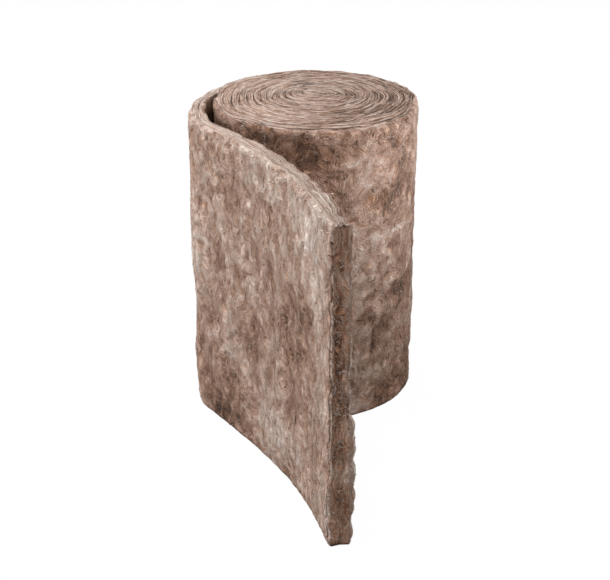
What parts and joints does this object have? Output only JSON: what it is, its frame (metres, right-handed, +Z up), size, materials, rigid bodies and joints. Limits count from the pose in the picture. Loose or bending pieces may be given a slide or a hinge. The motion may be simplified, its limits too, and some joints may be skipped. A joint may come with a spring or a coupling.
{
  "type": "fiberglass insulation blanket",
  "caption": "Unfaced glass wool insulation blanket, wound into a roll that stands on its end, with the loose end peeled away in an S curve.",
  "frame": {"origin": "on the floor, on the axis of the roll's outer turn", "axes": "+Z up along the roll's axis, -Y the way the loose end reaches, +X to the right seen from the loose end"},
  "size_m": [0.4416, 0.8573, 0.61],
  "materials": {
    "glass_wool": "matte"
  },
  "bodies": {
    "root": {"insulation_blanket": "glass_wool"}
  },
  "joints": []
}
